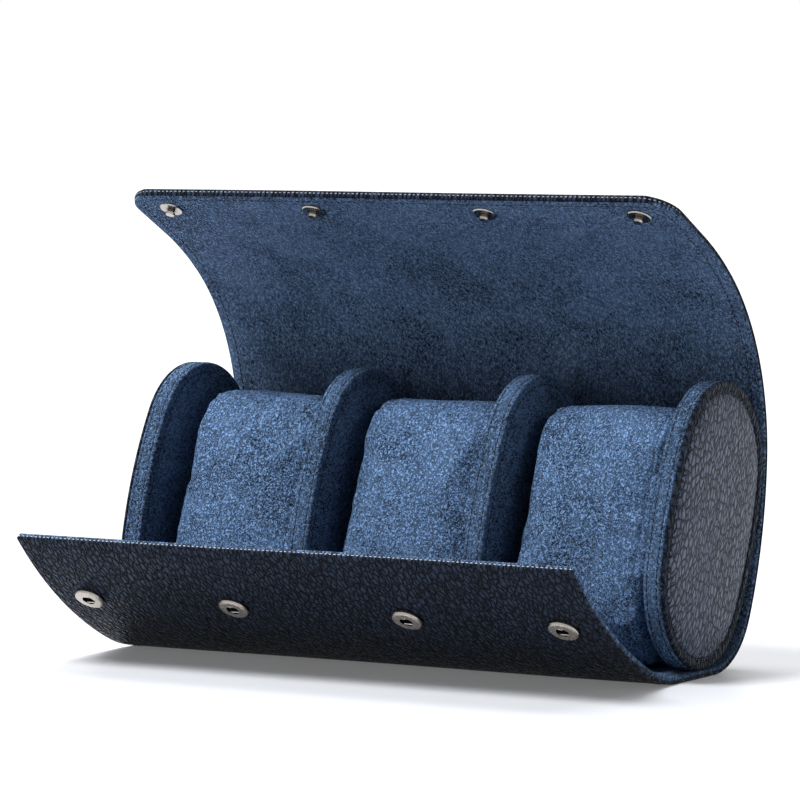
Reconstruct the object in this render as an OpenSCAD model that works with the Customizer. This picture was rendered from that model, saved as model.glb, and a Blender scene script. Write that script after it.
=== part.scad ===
// Watch travel roll, open: a leather and suede wrap round oval end caps and dividers,
// with a removable cushion in each of three compartments and four snap fasteners.
// Millimetres, +Z up, +X along the roll. The origin is on the floor under the middle of
// the roll, below the oval's centre. The wrap is described along its outer surface.

/* [Compartments] */
// Clear width of one compartment between its walls
slot_w = 71.8; // [66:0.2:90]
// Thickness of a divider across both suede faces
divider_t = 8.4; // [6:0.2:12]
// Thickness of an end cap at its stitched rim
cap_t = 8.8; // [7:0.2:12]
// How far the end caps sit inside the wrap's side edges
cap_inset = 0.1; // [0.1:0.1:2]

/* [Oval walls] */
// Long diameter of the end caps and dividers
oval_len = 115.5; // [110:0.5:125]
// Short diameter of the end caps and dividers
oval_dep = 75.5; // [73:0.5:80]
// How far the radius of the oval's two round ends is below half its short diameter
oval_flat = 1.75; // [1.25:0.25:3.5]
// Backward lean of the oval's long diameter from upright
oval_lean = 21.5; // [15:0.5:25]
// Clearance between the oval walls and the wrap's lining
seat_gap = 0.1; // [0.1:0.05:0.4]
// Thickness of the suede band round each oval wall
band_t = 0.8; // [0.5:0.1:1.4]
// Thickness of the suede on the flat of each wall
face_t = 0.8; // [0.5:0.1:1.4]
// Glue line between a wall's board and its coverings
glue_gap = 0.1; // [0.05:0.05:0.3]

/* [End cap pad] */
// Thickness of the cap's leather cover
cap_leather_t = 1.1; // [0.8:0.1:1.6]
// Width of the flat stitched rim round the padded middle
cap_rim_w = 5.5; // [5:0.5:12]
// Height of the padded middle above the rim
cap_dome_h = 2.6; // [1:0.2:5]
// How soon the padded middle flattens out, from 2 for a round dome to 4 for a flat one
dome_power = 2.6; // [2:0.2:4]

/* [Wrap layers] */
// Thickness of the outer leather
leather_t = 1.2; // [0.9:0.1:1.6]
// Thickness of the stiffening board
board_t = 1.0; // [0.6:0.1:1.6]
// Thickness of the suede lining
lining_t = 0.7; // [0.5:0.1:1.2]
// Clearance between neighbouring layers
layer_gap = 0.05; // [0.02:0.01:0.1]
// Width of the leather hem turned in round the board
hem_w = 4; // [3:0.5:7]
// Distance of the lining's edge inside the leather's edge
lining_inset = 0.6; // [0.3:0.1:1.5]
// Slit between one stiff panel of the wrap and the next
panel_slit = 0.2; // [0.1:0.05:0.4]

/* [Wrap base and back] */
// Length of the flat base in front of the origin
base_front = 30; // [26:1:34]
// Length of the flat base behind the origin
base_back = 2; // [0:0.5:6]
// Outer radius of the lower back corner
corner_r = 35; // [32:1:38]
// Turn of the lower back corner
corner_turn = 65; // [62:1:66]
// Outer radius of the back
back_r = 160; // [150:5:190]
// Length of the back up to the lid
back_len = 62; // [58:1:66]

/* [Lid] */
// Outer radius of the lid's first three curved panels
lid_r = 94; // [85:1:110]
// Outer radius of the lid's last curved panel, where the lid opens flatter
lid_last_r = 130; // [90:5:200]
// Outer length of one curved lid panel
lid_panel_len = 29; // [24:0.5:32]
// Length of the straight panel at the lid's edge
lid_tip_len = 36.5; // [28:0.5:40]
// Radius of the two corners at the lid's edge
lid_corner_r = 14; // [4:0.5:16]

/* [Front flap] */
// Outer radius of the flap's first panel
flap_near_r = 61; // [50:1:80]
// Outer length of the flap's first panel
flap_near_len = 24; // [20:1:28]
// Outer radius of the flap's other panels
flap_r = 180; // [150:5:220]
// Outer length of the flap's middle panel
flap_mid_len = 27; // [24:1:30]
// Outer length of the panel at the flap's edge
flap_tip_len = 54; // [48:1:58]

/* [Cushions] */
// Width of a cushion across its sewn ends
cushion_w = 58; // [50:0.5:64]
// Depth of a cushion from front to back
cushion_dep = 51.5; // [46:0.5:58]
// How far the radius of a cushion's rounded top and bottom is below half its depth
cushion_flat = 0.75; // [0.5:0.25:3]
// Distance of a cushion's top below the top of the walls
cushion_top_gap = 10.5; // [6:0.5:16]
// Clearance of a cushion above the lining that it sits on
cushion_seat = 0.3; // [0.2:0.05:0.5]
// Radius of the rounded edge between a cushion's sleeve and its ends
cushion_edge_r = 7; // [4:0.5:10]
// Crown of the sleeve, higher in its middle than beside the edge
cushion_crown = 1.4; // [0.5:0.1:3]
// Bulge of each sewn end beyond the rounded edge
cushion_end_bulge = 1.2; // [0.4:0.1:2.5]
// Thickness of a cushion's suede cover
cover_t = 0.9; // [0.6:0.1:1.5]

/* [Snap fasteners] */
// Distance of the inner two snaps from the middle of the roll
snap_mid_x = 39.4; // [34:0.2:44]
// Distance of the outer two snaps from the wrap's side edges
snap_side_inset = 17.4; // [12:0.2:24]
// Distance of the sockets from the flap's edge
socket_edge_inset = 36.8; // [32:0.1:40]
// Distance of the studs from the lid's edge
stud_edge_inset = 12.5; // [9.5:0.1:16]
// Diameter of a socket
socket_d = 12.3; // [11:0.1:13.5]
// Height of a socket above the leather
socket_h = 2; // [1.6:0.1:2.6]
// Radius of a socket's rounded rim
socket_lip_r = 0.9; // [0.5:0.1:0.95]
// Diameter of the hole in a socket
socket_hole_d = 5.4; // [5:0.1:5.8]
// Thickness of a socket below its hole
socket_floor = 0.25; // [0.2:0.05:0.3]
// Diameter of the shank that joins a snap to its rivet
shank_d = 4.6; // [3.6:0.1:4.8]
// Diameter of the wire springs across a socket's hole
spring_d = 0.5; // [0.3:0.05:0.5]
// Depth of the springs' middle below a socket's top
spring_depth = 0.45; // [0.4:0.05:0.5]
// Diameter of a stud's flange
stud_flange_d = 10; // [8.5:0.1:11.5]
// Height of a stud's flange above the lining
stud_flange_h = 0.8; // [0.5:0.1:1]
// Diameter of the flattened ball at the end of a stud
stud_ball_d = 4; // [3.4:0.1:4.4]
// Height of the flattened ball
stud_ball_h = 0.9; // [0.7:0.1:0.9]
// Diameter of a stud's neck
stud_neck_d = 3.1; // [2.6:0.1:3.2]
// Height of a stud above the lining
stud_h = 3.1; // [2.6:0.1:3.2]
// Diameter of the rivet heads hidden inside the wrap
rivet_d = 10.4; // [9:0.1:11]
// Clearance round rivets, shanks and springs
rivet_gap = 0.15; // [0.1:0.05:0.2]

/* [Hidden] */
$fn = 96;

leather_c = [0.075, 0.105, 0.155];
suede_c = [0.16, 0.235, 0.36];
cap_c = [0.16, 0.19, 0.24];
board_c = [0.35, 0.33, 0.3];
foam_c = [0.75, 0.75, 0.72];
metal_c = [0.5, 0.47, 0.44];

// Widths along the roll
cap_x = 1.5 * slot_w + divider_t;
wrap_w = 2 * (cap_x + cap_t + cap_inset);
snap_side_x = wrap_w / 2 - snap_side_inset;
SNAP_X = [-snap_side_x, -snap_mid_x, snap_mid_x, snap_side_x];

// Depths below the wrap's outer surface where each layer starts
board_d = leather_t + layer_gap;
lining_d = board_d + board_t + layer_gap;
wrap_t = lining_d + lining_t;

// The oval is made of four arcs: two wide side arcs and two end arcs, all tangent
half_len = oval_len / 2;
half_dep = oval_dep / 2;
oval_end_r = half_dep - oval_flat;
oval_z = wrap_t + seat_gap + (half_len - oval_end_r) * cos(oval_lean) + oval_end_r;

// The cushion's oval sits on the lining and ends below the top of the walls
cushion_half_dep = cushion_dep / 2;
cushion_end_r = cushion_half_dep - cushion_flat;
cushion_half_len = (oval_z - wrap_t - cushion_seat - cushion_end_r
    + (half_len - cushion_top_gap + cushion_end_r) * cos(oval_lean)) / (2 * cos(oval_lean));
cushion_v = half_len - cushion_top_gap - cushion_half_len;

// Rivet heads lie in the board's thickness, with a little play
rivet_head_t = board_t - 2 * layer_gap;

// Height of the wire springs' middle above the flap
spring_z = socket_h - spring_depth;

// Points round the crowned forms and round the flat walls
form_points = 32;
wall_points = 72;

// Longest step along a curved panel
panel_step = 4.6;
tiny = 0.01;

// ---- Places along the wrap ----

// Angle turned along an arc of length l and radius r
function turned(l, r) = l / r * 180 / PI;

// Pose [y, z, heading] after moving l along an outer arc of radius r; r = 0 is straight.
// side is 1 where the wrap's inside is to the left of the heading, and -1 to the right.
function moved(p, l, r, side) =
    r == 0 ? [p[0] + l * cos(p[2]), p[1] + l * sin(p[2]), p[2]]
    : let (h = p[2] + side * turned(l, r))
      [p[0] + side * r * (sin(h) - sin(p[2])), p[1] - side * r * (cos(h) - cos(p[2])), h];

// Pose at the start of panel k of a chain of [length, radius] panels
function panel_start(p, chain, side, k) =
    k == 0 ? p
    : let (q = panel_start(p, chain, side, k - 1))
      moved(q, chain[k - 1][0], chain[k - 1][1], side);

BASE = [
    [base_front + base_back, 0],
    [corner_r * corner_turn * PI / 180, corner_r],
    [back_len, back_r]
];
FLAP = [[flap_near_len, flap_near_r], [flap_mid_len, flap_r], [flap_tip_len, flap_r]];
LID = [
    [lid_panel_len, lid_r], [lid_panel_len, lid_r],
    [lid_panel_len, lid_r], [lid_panel_len, lid_last_r],
    [lid_tip_len, 0]
];
base_start = [-base_front, 0, 0];
flap_start = [-base_front, 0, 180];
lid_start = panel_start(base_start, BASE, 1, 3);

// Poses of the snaps on the wrap's outer surface
socket_pose = moved(panel_start(flap_start, FLAP, -1, 2), flap_tip_len - socket_edge_inset, flap_r, -1);
stud_pose = moved(panel_start(lid_start, LID, 1, 4), lid_tip_len - stud_edge_inset, 0, 1);

// ---- General shapes ----

// Puts a shape drawn in the side view (x to +Y, y to +Z) across the roll, z to +X
module side_view() {
    rotate([90, 0, 90]) children();
}

// Puts children at a pose on the wrap: +Y ahead, +Z to the left of the heading
module at_pose(p, x = 0) {
    translate([x, p[0], p[1]]) rotate([p[2], 0, 0]) children();
}

// Poses along a panel's outer surface, from s0 to l - s1, with even steps between
function panel_path(p, l, r, side, s0, s1) =
    let (n = ceil(l / panel_step))
    concat(
        [moved(p, s0, r, side)],
        [for (i = [1 : n - 1]) let (s = l * i / n) if (s > s0 && s < l - s1) moved(p, s, r, side)],
        [moved(p, l - s1, r, side)]
    );

// Point at depth d below the outer surface at the pose p
function layer_point(p, d, side) = [p[0] - side * d * sin(p[2]), p[1] + side * d * cos(p[2])];

// One layer along a path of poses, from depth d0 to d1 and from x0 to x1 across
module path_layer(PATH, side, d0, d1, x0, x1) {
    last = len(PATH) - 1;
    side_view()
        translate([0, 0, x0])
        linear_extrude(x1 - x0)
        polygon(concat(
            [for (p = PATH) layer_point(p, d0, side)],
            [for (i = [last : -1 : 0]) layer_point(PATH[i], d1, side)]
        ));
}

// One layer of a panel, with s0 and s1 left free at its two ends
module panel_layer(p, l, r, side, d0, d1, x0, x1, s0, s1) {
    path_layer(panel_path(p, l, r, side, s0, s1), side, d0, d1, x0, x1);
}

// Leather of one panel: the sheet and the hems turned in along both sides.
// end_hem closes the far end too.
module panel_leather(p, l, r, side, s0, s1, end_hem = false) {
    w = wrap_w / 2;
    panel_layer(p, l, r, side, 0, leather_t, -w, w, s0, s1);
    for (m = [0, 1]) {
        mirror([m, 0, 0])
            panel_layer(p, l, r, side, leather_t - tiny, lining_d - layer_gap, w - hem_w, w, s0, s1);
    }
    if (end_hem) {
        panel_layer(p, l, r, side, leather_t - tiny, lining_d - layer_gap, -w, w, l - s1 - hem_w, s1);
    }
}

// Board of one panel, inside the hems; end_inset is what a hem takes at the far end
module panel_board(p, l, r, side, s0, s1, end_inset = 0) {
    w = wrap_w / 2 - hem_w - layer_gap;
    panel_layer(p, l, r, side, board_d, board_d + board_t, -w, w, s0, s1 + end_inset);
}

// Lining of one panel
module panel_lining(p, l, r, side, s0, s1) {
    w = wrap_w / 2 - lining_inset;
    panel_layer(p, l, r, side, lining_d, wrap_t, -w, w, s0, s1);
}

// Points round a quarter circle from the angle a0, in n steps
function corner_points(x, y, r, a0, n = 8) = [
    for (i = [0 : n]) [x + r * cos(a0 + 90 * i / n), y + r * sin(a0 + 90 * i / n)]
];

// Outline of the lid's edge panel with its rounded corners, drawn in by inset, from start
module lid_tip_outline(inset, start) {
    r = lid_corner_r - inset;
    w = wrap_w / 2 - inset;
    l = lid_tip_len - inset;
    polygon(concat(
        [[-w, start], [w, start]],
        corner_points(w - r, l - r, r, 0),
        corner_points(r - w, l - r, r, 90)
    ));
}

// One layer of the lid's edge panel, from depth d0 to d1; a rim is only its hem
module lid_tip_layer(d0, d1, inset, rim = false) {
    at_pose(panel_start(lid_start, LID, 1, 4))
        translate([0, 0, d0])
        linear_extrude(d1 - d0)
        difference() {
            lid_tip_outline(inset, panel_slit / 2);
            if (rim) lid_tip_outline(hem_w, -panel_slit);
        }
}

// Outline of the oval walls in their own plane, drawn in by e
module oval(e) {
    polygon([
        for (i = [0 : wall_points - 1])
            oval_point(half_len, half_dep, oval_end_r, e, 360 * (i + 0.5) / wall_points)
    ]);
}

// A slice of an oval wall from x0 to x1 across the roll
module oval_slab(x0, x1, e = 0) {
    side_view()
        translate([0, oval_z, x0])
        rotate([0, 0, -oval_lean])
        linear_extrude(x1 - x0)
        oval(e);
}

// The suede band round an oval wall
module oval_band(x0, x1) {
    difference() {
        oval_slab(x0, x1);
        oval_slab(x0 - 1, x1 + 1, band_t);
    }
}

// Point at normal angle t on an oval of half sizes a and b with end radius r, drawn in by e
function oval_point(a, b, r, e, t) =
    let (side_r = (pow(a - r, 2) + pow(b, 2) - pow(r, 2)) / (2 * (b - r)),
         w = atan2(abs(sin(t)), abs(cos(t))),
         flat = atan2(a - r, side_r - b),
         u = w < flat ? (side_r - e) * cos(w) - (side_r - b) : (r - e) * cos(w),
         v = w < flat ? (side_r - e) * sin(w) : (r - e) * sin(w) + a - r)
    [u * sign(cos(t)), v * sign(sin(t))];

// Normal angles round an oval, closer together on its round ends than on its sides
function oval_angle(i) =
    let (q = form_points / 4, k = floor(i / q), f = (i % q + 0.5) / q)
    90 * k + (k % 2 == 0 ? 90 * pow(f, 0.8) : 90 - 90 * pow(1 - f, 0.8));

// Loft of oval rings. PROFILE lists [inset, x]; closed joins its last ring to its first,
// and otherwise both ends are closed with a flat face. Rings run with x to +X.
module oval_loft(a, b, r, PROFILE, closed = false) {
    n = form_points;
    m = len(PROFILE);
    points = [
        for (ring = PROFILE) for (i = [0 : n - 1])
            let (q = oval_point(a, b, r, ring[0], oval_angle(i)))
            [q[0], q[1], ring[1]]
    ];
    bands = [
        for (j = [0 : closed ? m - 1 : m - 2]) for (i = [0 : n - 1])
            let (k = (j + 1) % m, i2 = (i + 1) % n)
            each [[j * n + i, k * n + i, k * n + i2], [j * n + i, k * n + i2, j * n + i2]]
    ];
    caps = closed ? [] : [
        for (i = [1 : n - 2]) each [
            [0, i, i + 1],
            [(m - 1) * n, (m - 1) * n + i + 1, (m - 1) * n + i]
        ]
    ];
    side_view()
        translate([0, oval_z, 0])
        rotate([0, 0, -oval_lean])
        polyhedron(points, concat(bands, caps), convexity = 6);
}

// ---- Wrap ----

// Free far end of the flap's panel k: half a slit at a joint and none at the wrap's edge
function flap_end(k) = k < 2 ? panel_slit / 2 : 0;

// Places along the base's outer surface, half a slit short of its joints
BASE_PATH = concat(
    [moved(base_start, panel_slit / 2, 0, 1)],
    [for (i = [0 : 16]) moved(panel_start(base_start, BASE, 1, 1), BASE[1][0] * i / 16, corner_r, 1)],
    [for (i = [1 : 12]) moved(panel_start(base_start, BASE, 1, 2), (back_len - panel_slit / 2) * i / 12, back_r, 1)]
);

// One layer of the base from depth d0 to d1, and from x0 to x1 across
module base_layer(d0, d1, x0, x1) {
    path_layer(BASE_PATH, 1, d0, d1, x0, x1);
}

module base_leather() {
    w = wrap_w / 2;
    color(leather_c) {
        base_layer(0, leather_t, -w, w);
        for (x0 = [-w, w - hem_w]) base_layer(leather_t - tiny, lining_d - layer_gap, x0, x0 + hem_w);
    }
}

module base_board() {
    w = wrap_w / 2 - hem_w - layer_gap;
    color(board_c) base_layer(board_d, board_d + board_t, -w, w);
}

module base_lining() {
    w = wrap_w / 2 - lining_inset;
    color(suede_c) base_layer(lining_d, wrap_t, -w, w);
}

// Holes of diameter d through a layer, round the snaps at a pose
module snap_holes(p, d) {
    for (x = SNAP_X)
        at_pose(p, x)
            translate([0, 0, -2 * wrap_t])
            cylinder(d = d, h = 4 * wrap_t);
}

module flap_leather(k) {
    color(leather_c)
        difference() {
            panel_leather(panel_start(flap_start, FLAP, -1, k), FLAP[k][0], FLAP[k][1], -1,
                panel_slit / 2, flap_end(k), k == 2);
            if (k == 2) snap_holes(socket_pose, shank_d + 2 * rivet_gap);
        }
}

module flap_board(k) {
    color(board_c)
        difference() {
            panel_board(panel_start(flap_start, FLAP, -1, k), FLAP[k][0], FLAP[k][1], -1,
                panel_slit / 2, flap_end(k), k == 2 ? hem_w + layer_gap : 0);
            if (k == 2) snap_holes(socket_pose, rivet_d + 2 * rivet_gap);
        }
}

module flap_lining(k) {
    color(suede_c)
        panel_lining(panel_start(flap_start, FLAP, -1, k), FLAP[k][0], FLAP[k][1], -1,
            panel_slit / 2, k == 2 ? lining_inset : panel_slit / 2);
}

module lid_leather(k) {
    color(leather_c)
        if (k < 4) {
            panel_leather(panel_start(lid_start, LID, 1, k), LID[k][0], LID[k][1], 1,
                panel_slit / 2, panel_slit / 2);
        } else {
            lid_tip_layer(0, leather_t, 0);
            lid_tip_layer(leather_t - tiny, lining_d - layer_gap, 0, rim = true);
        }
}

module lid_board(k) {
    color(board_c)
        if (k < 4) {
            panel_board(panel_start(lid_start, LID, 1, k), LID[k][0], LID[k][1], 1,
                panel_slit / 2, panel_slit / 2);
        } else {
            difference() {
                lid_tip_layer(board_d, board_d + board_t, hem_w + layer_gap);
                snap_holes(stud_pose, rivet_d + 2 * rivet_gap);
            }
        }
}

module lid_lining(k) {
    color(suede_c)
        if (k < 4) {
            panel_lining(panel_start(lid_start, LID, 1, k), LID[k][0], LID[k][1], 1,
                panel_slit / 2, panel_slit / 2);
        } else {
            difference() {
                lid_tip_layer(lining_d, wrap_t, lining_inset);
                snap_holes(stud_pose, shank_d + 2 * rivet_gap);
            }
        }
}

// ---- Snap fasteners ----

// Sockets stand on the outside of the flap: a ring with a rounded rim round a hole, and a
// groove inside the hole for the wires
module snap_sockets() {
    ring_r = socket_d / 2;
    hole_r = socket_hole_d / 2;
    groove_r = hole_r + 2 * spring_d;
    groove_h = spring_d + layer_gap * 2;
    lip_r = ring_r - socket_lip_r;
    lip_z = socket_h - socket_lip_r;
    color(metal_c)
        for (x = SNAP_X)
            at_pose(socket_pose, x)
                rotate_extrude()
                polygon(concat(
                    [[0, 0], [ring_r, 0]],
                    corner_points(lip_r, lip_z, socket_lip_r, 0, 2),
                    [[hole_r, socket_h], [hole_r, spring_z + groove_h / 2]],
                    [[groove_r, spring_z + groove_h / 2], [groove_r, spring_z - groove_h / 2]],
                    [[hole_r, spring_z - groove_h / 2], [hole_r, socket_floor], [0, socket_floor]]
                ));
}

// Two wires cross each socket's hole, one on each side of the stud's neck
module snap_socket_springs() {
    hole_r = socket_hole_d / 2;
    offset_y = (stud_neck_d + spring_d) / 2 + rivet_gap;
    half = sqrt(pow(hole_r + 1.5 * spring_d, 2) - pow(offset_y + spring_d / 2, 2));
    color(metal_c)
        for (x = SNAP_X, m = [-1, 1])
            at_pose(socket_pose, x)
                translate([-half, m * offset_y, spring_z])
                rotate([0, 90, 0])
                cylinder(d = spring_d, h = 2 * half, $fn = 8);
}

// Rivets hold the sockets from between the leather and the lining
module snap_socket_rivets() {
    color(metal_c)
        for (x = SNAP_X)
            at_pose(socket_pose, x) {
                translate([0, 0, -board_d - rivet_head_t - layer_gap])
                    cylinder(d = rivet_d, h = rivet_head_t);
                translate([0, 0, -board_d - 2 * layer_gap])
                    cylinder(d = shank_d, h = board_d + 2 * layer_gap);
            }
}

// Studs stand on the inside of the lid: a flange with a bevelled edge, a neck and a ball
module snap_studs() {
    ball_r = stud_ball_d / 2;
    neck_r = stud_neck_d / 2;
    flange_r = stud_flange_d / 2;
    bevel = stud_flange_h / 2;
    ball_z = stud_h - stud_ball_h;
    color(metal_c)
        for (x = SNAP_X)
            at_pose(stud_pose, x)
                translate([0, 0, wrap_t])
                rotate_extrude()
                polygon([
                    [0, 0], [flange_r - bevel, 0], [flange_r, bevel], [flange_r - bevel, 2 * bevel],
                    [neck_r, 2 * bevel], [neck_r, ball_z],
                    [ball_r, ball_z], [sqrt(pow(ball_r, 2) - pow(stud_ball_h, 2)), stud_h], [0, stud_h]
                ]);
}

// Rivets hold the studs from between the leather and the lining
module snap_stud_rivets() {
    color(metal_c)
        for (x = SNAP_X)
            at_pose(stud_pose, x) {
                translate([0, 0, board_d + layer_gap])
                    cylinder(d = rivet_d, h = rivet_head_t);
                translate([0, 0, board_d + layer_gap])
                    cylinder(d = shank_d, h = wrap_t - board_d - layer_gap);
            }
}

// ---- End caps ----

// Everything of a cap is drawn for the right end, and mirrored for the left
module cap_side(left) {
    mirror([left ? 1 : 0, 0, 0]) children();
}

cap_board_x0 = cap_x + face_t;
cap_board_x1 = cap_x + cap_t - cap_leather_t;

// Profile of the padded middle from its centre out to the rim, as [inset, height].
// It rises steeply from the rim and is nearly flat in the middle.
dome_run = oval_end_r - cap_rim_w - cap_dome_h;
DOME = [
    for (f = [1, 0.62, 0.32, 0.1])
        [cap_rim_w + f * dome_run, cap_dome_h * sqrt(1 - pow(1 - f, dome_power))]
];

module cap_board(left) {
    color(board_c) cap_side(left) oval_slab(cap_board_x0, cap_board_x1, band_t + glue_gap);
}

module cap_foam(left) {
    color(foam_c)
        cap_side(left)
        oval_loft(half_len, half_dep, oval_end_r, concat(
            [[cap_rim_w + dome_run, cap_board_x1]],
            [[cap_rim_w, cap_board_x1]],
            [for (j = [len(DOME) - 1 : -1 : 0]) [DOME[j][0], cap_board_x1 + DOME[j][1]]]
        ));
}

module cap_leather(left) {
    color(cap_c)
        cap_side(left)
        oval_loft(half_len, half_dep, oval_end_r, concat(
            [for (d = DOME) [d[0], cap_board_x1 + d[1] + glue_gap]],
            [[cap_rim_w - glue_gap, cap_board_x1], [0, cap_board_x1]],
            [[0, cap_board_x1 + cap_leather_t / 2], [cap_leather_t / 2, cap_board_x1 + cap_leather_t]],
            [[cap_rim_w - cap_leather_t, cap_board_x1 + cap_leather_t]],
            [for (j = [len(DOME) - 1 : -1 : 0]) [DOME[j][0], cap_board_x1 + DOME[j][1] + cap_leather_t]]
        ));
}

module cap_band(left) {
    color(suede_c) cap_side(left) oval_band(cap_x, cap_board_x1);
}

module cap_lining(left) {
    color(suede_c) cap_side(left) oval_slab(cap_x, cap_board_x0, band_t + glue_gap);
}

// ---- Dividers ----

// Middle of divider n, which is 1 on the left and 2 on the right
function divider_x(n) = (n - 1.5) * (slot_w + divider_t);

module divider_board(n) {
    half = divider_t / 2 - face_t;
    color(board_c) oval_slab(divider_x(n) - half, divider_x(n) + half, band_t + glue_gap);
}

module divider_band(n) {
    color(suede_c) oval_band(divider_x(n) - divider_t / 2, divider_x(n) + divider_t / 2);
}

module divider_face(n, side) {
    x0 = divider_x(n) + (side < 0 ? -divider_t / 2 : divider_t / 2 - face_t);
    color(suede_c) oval_slab(x0, x0 + face_t, band_t + glue_gap);
}

// ---- Cushions ----

// Middle of cushion n, counted from the left
function cushion_x(n) = (n - 2) * (slot_w + divider_t);

// Inset and place of the cushion's surface at s along its right half, lowered by t
sleeve_half = cushion_w / 2 - cushion_end_bulge - cushion_edge_r;
function crown_at(f) = cushion_crown * pow(f, 2);
function edge_ring(a, t) = [
    cushion_crown + cushion_edge_r - (cushion_edge_r - t) * cos(a),
    sleeve_half + (cushion_edge_r - t) * sin(a)
];

// Profile of the sleeve's surface from left to right, lowered by t, with k edge steps
edge_turn = 75;
function sleeve_profile(t, k) = concat(
    [for (j = [k : -1 : 1]) let (q = edge_ring(edge_turn * j / k, t)) [q[0], -q[1]]],
    [for (f = [-1, 0, 1]) [crown_at(f) + t, f * sleeve_half]],
    [for (j = [1 : k]) edge_ring(edge_turn * j / k, t)]
);

module cushion_loft(n, PROFILE, closed = false) {
    translate([cushion_x(n), cushion_v * sin(oval_lean), cushion_v * cos(oval_lean)])
        oval_loft(cushion_half_len, cushion_half_dep, cushion_end_r, PROFILE, closed);
}

module cushion_foam(n) {
    color(foam_c) cushion_loft(n, sleeve_profile(cover_t + glue_gap, 2));
}

module cushion_sleeve(n) {
    outer = sleeve_profile(0, 3);
    inner = sleeve_profile(cover_t, 2);
    color(suede_c)
        cushion_loft(n, concat(outer, [for (j = [len(inner) - 1 : -1 : 0]) inner[j]]), true);
}

// Each end is a sewn disc that bulges a little, just inside the sleeve's edge
module cushion_ends(n) {
    rim = edge_ring(edge_turn, 0);
    gap_e = rim[0] + glue_gap;
    end_middle = (cushion_end_r - gap_e) * 3 / 4;
    inner_x = sleeve_half + cushion_edge_r - cover_t;
    outer_x = cushion_w / 2;
    color(suede_c)
        for (m = [0, 1])
            translate([2 * cushion_x(n) * m, 0, 0])
            mirror([m, 0, 0])
            cushion_loft(n, [
                [gap_e + end_middle, inner_x],
                [gap_e + glue_gap, inner_x],
                [gap_e, inner_x + cover_t / 2],
                [gap_e + end_middle / 3, outer_x - cushion_end_bulge / 4],
                [gap_e + end_middle, outer_x]
            ]);
}

// ---- Nodes ----

base_leather();
base_board();
base_lining();
flap_leather(0);  // flap_leather_1
flap_board(0);  // flap_board_1
flap_lining(0);  // flap_lining_1
flap_leather(1);  // flap_leather_2
flap_board(1);  // flap_board_2
flap_lining(1);  // flap_lining_2
flap_leather(2);  // flap_leather_3
flap_board(2);  // flap_board_3
flap_lining(2);  // flap_lining_3
lid_leather(0);  // lid_leather_1
lid_board(0);  // lid_board_1
lid_lining(0);  // lid_lining_1
lid_leather(1);  // lid_leather_2
lid_board(1);  // lid_board_2
lid_lining(1);  // lid_lining_2
lid_leather(2);  // lid_leather_3
lid_board(2);  // lid_board_3
lid_lining(2);  // lid_lining_3
lid_leather(3);  // lid_leather_4
lid_board(3);  // lid_board_4
lid_lining(3);  // lid_lining_4
lid_leather(4);  // lid_leather_5
lid_board(4);  // lid_board_5
lid_lining(4);  // lid_lining_5
snap_sockets();
snap_socket_springs();
snap_socket_rivets();
snap_studs();
snap_stud_rivets();
cap_board(true);  // left_cap_board
cap_foam(true);  // left_cap_foam
cap_leather(true);  // left_cap_leather
cap_band(true);  // left_cap_band
cap_lining(true);  // left_cap_lining
cap_board(false);  // right_cap_board
cap_foam(false);  // right_cap_foam
cap_leather(false);  // right_cap_leather
cap_band(false);  // right_cap_band
cap_lining(false);  // right_cap_lining
divider_board(1);  // divider_1_board
divider_band(1);  // divider_1_band
divider_face(1, -1);  // divider_1_left_face
divider_face(1, 1);  // divider_1_right_face
divider_board(2);  // divider_2_board
divider_band(2);  // divider_2_band
divider_face(2, -1);  // divider_2_left_face
divider_face(2, 1);  // divider_2_right_face
cushion_foam(1);  // cushion_1_foam
cushion_sleeve(1);  // cushion_1_sleeve
cushion_ends(1);  // cushion_1_ends
cushion_foam(2);  // cushion_2_foam
cushion_sleeve(2);  // cushion_2_sleeve
cushion_ends(2);  // cushion_2_ends
cushion_foam(3);  // cushion_3_foam
cushion_sleeve(3);  // cushion_3_sleeve
cushion_ends(3);  // cushion_3_ends
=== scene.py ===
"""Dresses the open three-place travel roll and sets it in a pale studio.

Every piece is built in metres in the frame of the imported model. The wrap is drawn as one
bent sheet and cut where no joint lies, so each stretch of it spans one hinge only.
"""

import logging
import math
from dataclasses import dataclass
from enum import Enum
from typing import Sequence

import bmesh
import bpy
import numpy as np
from mathutils import Matrix, Vector


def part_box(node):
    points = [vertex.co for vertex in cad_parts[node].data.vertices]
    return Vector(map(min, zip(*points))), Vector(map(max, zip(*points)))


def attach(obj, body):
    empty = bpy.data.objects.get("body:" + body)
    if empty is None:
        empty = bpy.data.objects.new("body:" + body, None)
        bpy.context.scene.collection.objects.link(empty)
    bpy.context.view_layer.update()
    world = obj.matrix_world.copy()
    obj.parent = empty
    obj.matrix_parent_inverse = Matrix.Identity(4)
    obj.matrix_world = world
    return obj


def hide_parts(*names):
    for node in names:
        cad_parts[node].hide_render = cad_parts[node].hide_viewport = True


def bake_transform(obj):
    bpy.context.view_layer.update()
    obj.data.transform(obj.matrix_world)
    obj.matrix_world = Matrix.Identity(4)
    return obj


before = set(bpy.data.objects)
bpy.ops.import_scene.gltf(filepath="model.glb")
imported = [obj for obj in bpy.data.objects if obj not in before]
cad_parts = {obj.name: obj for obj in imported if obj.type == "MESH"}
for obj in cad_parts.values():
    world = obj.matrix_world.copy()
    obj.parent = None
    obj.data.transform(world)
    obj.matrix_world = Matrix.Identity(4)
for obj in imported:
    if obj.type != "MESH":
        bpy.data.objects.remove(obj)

LOG = logging.getLogger("roll")
MM = 0.001
LEAN = math.radians(21.5)

Point = tuple[float, float, float]
Flat = tuple[float, float]
Colour = tuple[float, float, float, float]
Places = list[tuple[Point, Point]]


# ---- node trees


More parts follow.
